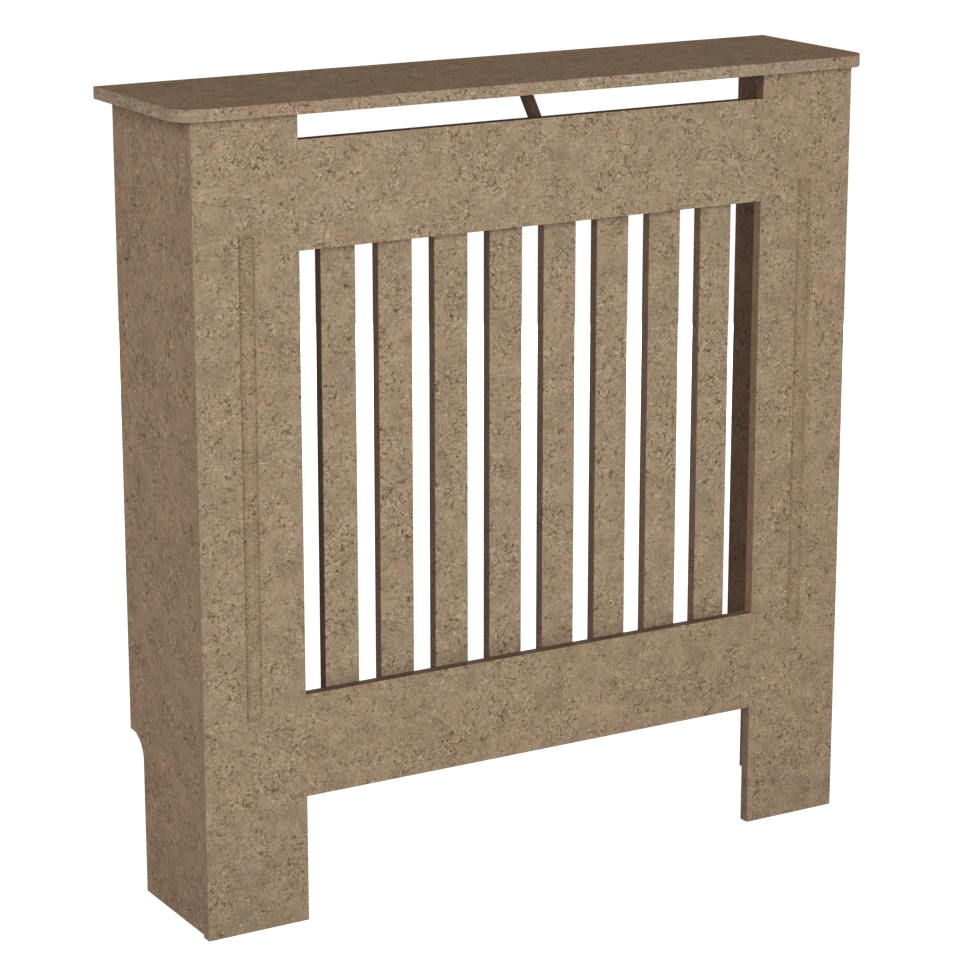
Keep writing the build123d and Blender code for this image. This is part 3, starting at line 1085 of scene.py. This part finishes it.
# ---- sub-assemblies
@dataclass
class FrontFrame:
    """The two stiles and two rails, with the dowels that hold them end to edge."""

    boards: Sequence[tuple[str, Triple]] = (  # each with its colour against the others'
        ("left_stile", (0.996, 0.995, 0.995)),
        ("right_stile", (0.997, 0.978, 0.972)),
        ("top_rail", (1.005, 1.011, 1.018)),
        ("bottom_rail", (0.994, 0.975, 0.967)),
    )
    finish: FibreBoard = FibreBoard(
        Lay.FRONT,
        contrast=1.03,
        outward=-1,
        shades=(
            Shade(UNDER_SHELF, -7 * MM, 0.55),
            Shade(UNDER_SHELF, -45 * MM, 0.52, Faces.INWARD),
            NEAR_FLOOR,
        ),
    )
    stile_edge: Triple = (0.97, 0.87, 0.90)
    # painted shade on the rails' sawn edges, which lie in shade under the shelf and in the opening
    rail_edge_shade: Triple = (0.50, 0.40, 0.40)
    dowel_inset: float = 22.0 * MM  # in from each rail's top and bottom edge
    groove_width: float = 18.0 * MM  # along the middle of each stile
    groove_depth: float = 3.0 * MM
    groove_overrun: float = 18.0 * MM  # beyond the opening, above and below
    cut_step: Triple = (437.0, 211.0, 0.0)  # from one board's place in the sheet to the next's

    def build(self) -> None:
        """Dress the boards and make the dowels."""
        for number, (name, face_tone) in enumerate(self.boards):
            stile = name.endswith("stile")
            finish = replace(
                self.finish,
                stretch=scaled(self.cut_step, number),
                face_tone=face_tone,
                edge_tone=self.stile_edge if stile else self.rail_edge_shade,
                groove=self._groove(name) if stile else None,
            )
            dress(name, "raw_mdf", finish)
        dowels = place_copies(Dowel().build(), self._dowel_seats())
        stand_for("rail_dowels", dowels, "fluted_dowels", BEECH.material("beech_dowels"))

    def _groove(self, stile: str) -> Groove:
        """Place the groove of one stile.

        Args:
            stile: The stile's node.

        Returns:
            The groove, along the stile's middle and a little longer than the opening.
        """
        low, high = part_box(stile)
        centre, reach, face = (low.x + high.x) / 2, self.groove_width / 2, low.y
        return Groove(
            (centre - reach, face, OPENING_LOW - self.groove_overrun),
            (centre + reach, face + self.groove_depth, OPENING_HIGH + self.groove_overrun),
        )

    def _dowel_seats(self) -> list[Seat]:
        """Place the dowels, two to a joint.

        Returns:
            A seat for each, at a rail's end.
        """
        seats = []
        for name in ("top_rail", "bottom_rail"):
            low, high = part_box(name)
            for x in (low.x, high.x):
                for z in (low.z + self.dowel_inset, high.z - self.dowel_inset):
                    seats.append(Seat((x, (low.y + high.y) / 2, z), RIGHT))
        return seats


@dataclass
class Slats:
    """The upright slats behind the frame, and the screws through their ends."""

    screws: Material
    screw_inset: float = 20.0 * MM  # from each end of a slat
    finish: FibreBoard = FibreBoard(
        Lay.FRONT,
        contrast=1.09,
        coarseness=1.15,
        # the sawn edges' own browner colour, with painted shade from the neighbouring slats
        edge_tone=(0.67, 0.58, 0.60),
        outward=-1,
        shades=(
            Shade(OPENING_LOW - 10 * MM, 36 * MM, 0.60, Faces.OUTER),
            Shade(OPENING_HIGH, -10 * MM, 0.65, Faces.OUTER),
        ),
    )
    edge_shades: Sequence[float] = (0.70, 0.93, 0.95, 0.92, 1.10, 0.97, 1.14, 1.16)  # painted shade on each slat's sawn edge, one per slat
    cut_step: Triple = (97.0, 640.0, 0.0)

    def build(self) -> None:
        """Dress the slats and screw them to the rails."""
        seats = []
        for number, shade in enumerate(self.edge_shades, start=1):
            name, stretch = f"slat_{number}", scaled(self.cut_step, number)
            edge_tone = scaled(self.finish.edge_tone, shade)
            dress(name, "raw_mdf", replace(self.finish, stretch=stretch, edge_tone=edge_tone))
            low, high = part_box(name)
            for z in (low.z + self.screw_inset, high.z - self.screw_inset):
                seats.append(Seat(((low.x + high.x) / 2, high.y, z), BACK))
        copies = place_copies(SLAT_SCREW.build(), seats)
        stand_for("slat_screws", copies, "pan_head_slat_screws", self.screws)


@dataclass
class Sides:
    """The two side panels, with the battens that join them to the front frame."""

    screws: Material
    screw_rows: int = 3
    screw_inset: float = 50.0 * MM  # end screws, in from a batten's ends
    screw_stagger: float = 24.0 * MM  # from a screw into the panel to the one into the stile
    finish: FibreBoard = FibreBoard(
        Lay.SIDE,
        pinkness=0.8,
        contrast=0.87,
        coarseness=1.4,
        # painted shade: the warmer, darker cast of the sides, which get less light than the front
        face_tone=(1.0, 0.95, 0.945),
        # painted shade on the inner faces, which lie in shade inside the cover
        inner_shade_tone=(0.80, 0.71, 0.755),
        shades=(
            Shade(UNDER_SHELF, -24 * MM, 0.52),
            Shade(UNDER_SHELF, -300 * MM, 0.88, Faces.INWARD),
            NEAR_FLOOR,
        ),
    )
    cuts: Sequence[float] = (500.0, 783.0)  # the panels' places along the sheet, in millimetres

    def build(self) -> None:
        """Dress the panels and battens and screw them together."""
        seats = []
        for (side, way), cut in zip(SIDES.items(), self.cuts):
            finish = replace(self.finish, stretch=(0.0, cut, 0.0), outward=way)
            dress(f"{side}_side_panel", "raw_mdf", finish)
            dress(f"{side}_corner_batten", "pine", PINE_UPRIGHT)
            seats += self._screw_seats(f"{side}_corner_batten", way)
        copies = place_copies(LONG_SCREW.build(), seats)
        stand_for("corner_batten_screws", copies, "countersunk_batten_screws", self.screws)

    def _screw_seats(self, batten: str, way: int) -> list[Seat]:
        """Place one batten's screws, some into the panel and some into the stile.

        Args:
            batten: The batten's node.
            way: 1 at the right side of the cover and -1 at the left.

        Returns:
            A seat for each.
        """
        low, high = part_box(batten)
        middle = (low + high) / 2
        inner = low.x if way > 0 else high.x
        seats = []
        for z in spread(low.z + self.screw_inset, high.z - self.screw_inset, self.screw_rows):
            seats.append(Seat((inner, middle.y, z), (-way, 0, 0)))
            seats.append(Seat((middle.x, high.y, z + self.screw_stagger), BACK))
        return seats


@dataclass
class Shelf:
    """The shelf, its strut, the cleats that carry it and the brackets that hold it to the wall."""

    screws: Material
    top: FibreBoard = FibreBoard(
        Lay.FLAT,
        (0.0, 90.0, 40.0),
        contrast=1.15,
        coarseness=1.35,
        # painted shade: the warmer, darker cast of the top, which gets less light than the front
        face_tone=(1.03, 0.90, 0.82),
        edge_tone=(1.01, 1.0, 1.05),
        green_grey=linear(150, 137, 110),
        pink_brown=linear(159, 132, 107),
        squash=1.3,
    )
    # painted shade: the strut is dark brown all over, as it stands in shade under the shelf
    strut: FibreBoard = FibreBoard(
        Lay.SIDE, (0.0, 400.0, 0.0), face_tone=(0.5, 0.4, 0.42), edge_tone=(0.28, 0.23, 0.26)
    )
    cleat_screw_inset: float = 22.0 * MM
    cleat_screw_stagger: float = 16.0 * MM
    cleat_screw_rows: int = 2
    bracket_hole_setback: float = 16.0 * MM  # of the screw, from the bracket's heel
    bracket_thickness: float = 2.0 * MM
    strut_angle: float = 51.0  # degrees above the horizontal
    foot_pin_drop: float = 5.5 * MM  # below the top rail's top edge
    head_pin_setback: float = 8.0 * MM  # behind the front of the strut's head
    pin_sink: float = 0.5 * MM
    pin_bite: float = 9.0 * MM

    def build(self) -> None:
        """Dress the boards and brackets, and make every screw and pin."""
        dress("top_shelf", "raw_mdf", self.top)
        dress("shelf_strut", "raw_mdf", self.strut)
        cleat_seats, bracket_seats = [], []
        for side, way in SIDES.items():
            cleat, bracket = f"{side}_shelf_cleat", f"{side}_wall_bracket"
            dress(cleat, "pine", PINE_LEVEL)
            dress(bracket, "zinc", BRIGHT_ZINC)
            cleat_seats += self._cleat_seats(cleat, way)
            bracket_seats.append(self._bracket_seat(bracket))
        copies = place_copies(LONG_SCREW.build(), cleat_seats)
        stand_for("shelf_cleat_screws", copies, "countersunk_cleat_screws", self.screws)
        copies = place_copies(SHORT_SCREW.build(), bracket_seats)
        stand_for("wall_bracket_screws", copies, "pan_head_bracket_screws", self.screws)
        self._pin_strut()

    def _cleat_seats(self, cleat: str, way: int) -> list[Seat]:
        """Place one cleat's screws, some into the shelf and some into the panel.

        Args:
            cleat: The cleat's node.
            way: 1 at the right side of the cover and -1 at the left.

        Returns:
            A seat for each.
        """
        low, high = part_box(cleat)
        middle, inset = (low + high) / 2, self.cleat_screw_inset
        inner = low.x if way > 0 else high.x
        seats = []
        for y in spread(low.y + inset, high.y - inset, self.cleat_screw_rows):
            seats.append(Seat((middle.x, y, low.z), DOWN))
            seats.append(Seat((inner, y + self.cleat_screw_stagger, middle.z), (-way, 0, 0)))
        return seats

    def _bracket_seat(self, bracket: str) -> Seat:
        """Place the screw that holds one bracket to the shelf.

        Args:
            bracket: The bracket's node.

        Returns:
            The screw's seat.
        """
        low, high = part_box(bracket)
        y, z = high.y - self.bracket_hole_setback, high.z - self.bracket_thickness
        return Seat(((low.x + high.x) / 2, y, z), DOWN)

    def _pin_strut(self) -> None:
        """Pin the strut's foot to the top rail and its head to the shelf."""
        low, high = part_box("shelf_strut")
        rail_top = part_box("top_rail")[1].z
        slope = math.tan(math.radians(self.strut_angle))
        x = (low.x + high.x) / 2
        foot_z = rail_top - self.foot_pin_drop
        foot_y = low.y + (foot_z - low.z) / slope - self.pin_sink
        head_y = low.y + (high.z - rail_top) / slope + self.head_pin_setback
        head_z = low.z + (head_y - low.y) * slope + self.pin_sink
        foot_pin = PanelPin(foot_y - low.y + self.pin_bite)
        head_pin = PanelPin(high.z - head_z + self.pin_bite)
        pins = place_copies(foot_pin.build(), [Seat((x, foot_y, foot_z), BACK)])
        pins += place_copies(head_pin.build(), [Seat((x, head_y, head_z), DOWN)])
        finish = BRIGHT_ZINC.material("zinc_strut_pins")
        stand_for("strut_pins", pins, "lost_head_strut_pins", finish)


# ---- light, floor and camera
@dataclass(frozen=True)
class Lamp:
    """Soft rectangular lamp that faces the cover."""

    name: str
    place: Triple
    level: float  # how bright a white surface square to it renders, at the cover
    height: float = 1.6
    width: float = 1.6


@dataclass
class Studio:
    """Plain soft light, a pale floor and the camera at the photograph's angle."""

    lens: float = 120.16  # millimetres
    sensor: float = 36.0
    sight: float = 100.0  # metres
    azimuth: float = 30.4  # degrees to the left of square-on
    elevation: float = 14.99
    distance: float = 3.1658
    aim: Triple = (-0.0676, -0.085, 0.425)  # point of the front face at the picture's centre
    lamps: Sequence[Lamp] = (
        Lamp("front", (0.23, -2.59, 0.85), 0.693),
        Lamp("left_front", (-2.13, -1.49, 0.85), 0.322),
        Lamp("left", (-2.59, 0.23, 0.85), 0.205),
        Lamp("right_back", (1.3, 2.25, 0.42), 0.5, 0.8),
    )
    lamp_aim: Triple = (0.0, 0.0, 0.42)
    ambient: float = 0.262
    floor_size: float = 30.0
    floor_dim: float = 0.12  # how pale the floor is to the light that it throws back
    floor_pale: float = 0.6  # how pale it is to the camera, besides its glow
    floor_glow: float = 0.86

    def build(self) -> None:
        """Add the world, the lamps, the floor and the camera."""
        self.world()
        for lamp in self.lamps:
            self.lamp(lamp)
        self.floor()
        self.camera()
        bpy.context.scene.view_settings.view_transform = "Standard"

    def camera(self) -> None:
        """Add the camera and make it the scene's own."""
        turn, tilt = math.radians(self.azimuth), math.radians(self.elevation)
        level = math.cos(tilt)
        back = Vector((-math.sin(turn) * level, -math.cos(turn) * level, math.sin(tilt)))
        data = bpy.data.cameras.new("camera")
        data.lens = self.lens
        data.sensor_width = self.sensor
        data.clip_end = self.sight
        bpy.context.scene.camera = self._stand(data, Vector(self.aim) + back * self.distance, -back)

    def lamp(self, lamp: Lamp) -> None:
        """Add a lamp.

        Args:
            lamp: Where it stands, how large it is and how bright.
        """
        reach = Vector(self.lamp_aim) - Vector(lamp.place)
        data = bpy.data.lights.new(lamp.name, "AREA")
        data.shape = "RECTANGLE"
        data.size = lamp.width
        data.size_y = lamp.height
        # white at a distance d renders at energy / (pi * d) ** 2, as it scatters evenly
        data.energy = lamp.level * math.pi**2 * reach.length_squared
        self._stand(data, Vector(lamp.place), reach)

    @staticmethod
    def _stand(data: bpy.types.ID, place: Vector, look: Vector) -> Piece:
        """Stand a camera or a lamp in the scene.

        Args:
            data: The camera or lamp.
            place: Where it stands.
            look: The way it looks.

        Returns:
            The object that holds it.
        """
        stood = bpy.data.objects.new(data.name, data)
        stood.location = place
        stood.rotation_euler = look.to_track_quat("-Z", "Y").to_euler()
        bpy.context.scene.collection.objects.link(stood)
        return stood

    def world(self) -> None:
        """Light the scene evenly, and show white where the camera looks past it."""
        world = bpy.data.worlds.new("studio")
        bpy.context.scene.world = world
        shader = Shader(world)
        level = self.ambient + shader.past_the_piece() * (1 - self.ambient)
        light = shader.node("Background", None, {"Color": FULL, "Strength": level})
        shader.node("OutputWorld", None, {"Surface": light})

    def floor(self) -> None:
        """Add the floor, which shows white to the camera except where the cover shades it."""
        bpy.ops.mesh.primitive_plane_add(size=self.floor_size, location=(0, 0, 0))
        floor = bpy.context.active_object
        floor.name = "floor"
        shader = Shader(bpy.data.materials.new("pale_floor"))
        dim, plain = (
            shader.node("BsdfDiffuse", None, {"Color": scaled(FULL, grey)})
            for grey in (self.floor_dim, self.floor_pale)
        )
        glow = shader.node("Emission", None, {"Color": FULL, "Strength": self.floor_glow})
        white = shader.node("AddShader", None, {0: plain, 1: glow})
        seen = shader.past_the_piece()
        surface = shader.node("MixShader", None, {0: seen, 1: dim, 2: white})
        shader.node("OutputMaterial", None, {"Surface": surface})
        floor.data.materials.append(shader.owner)


def main() -> None:
    """Build everything in order."""
    deselect_all()
    screws = YELLOW_ZINC.material("yellow_zinc_screws")
    for assembly in (FrontFrame(), Slats(screws), Sides(screws), Shelf(screws), Studio()):
        assembly.build()


if __name__ == "__main__":
    main()
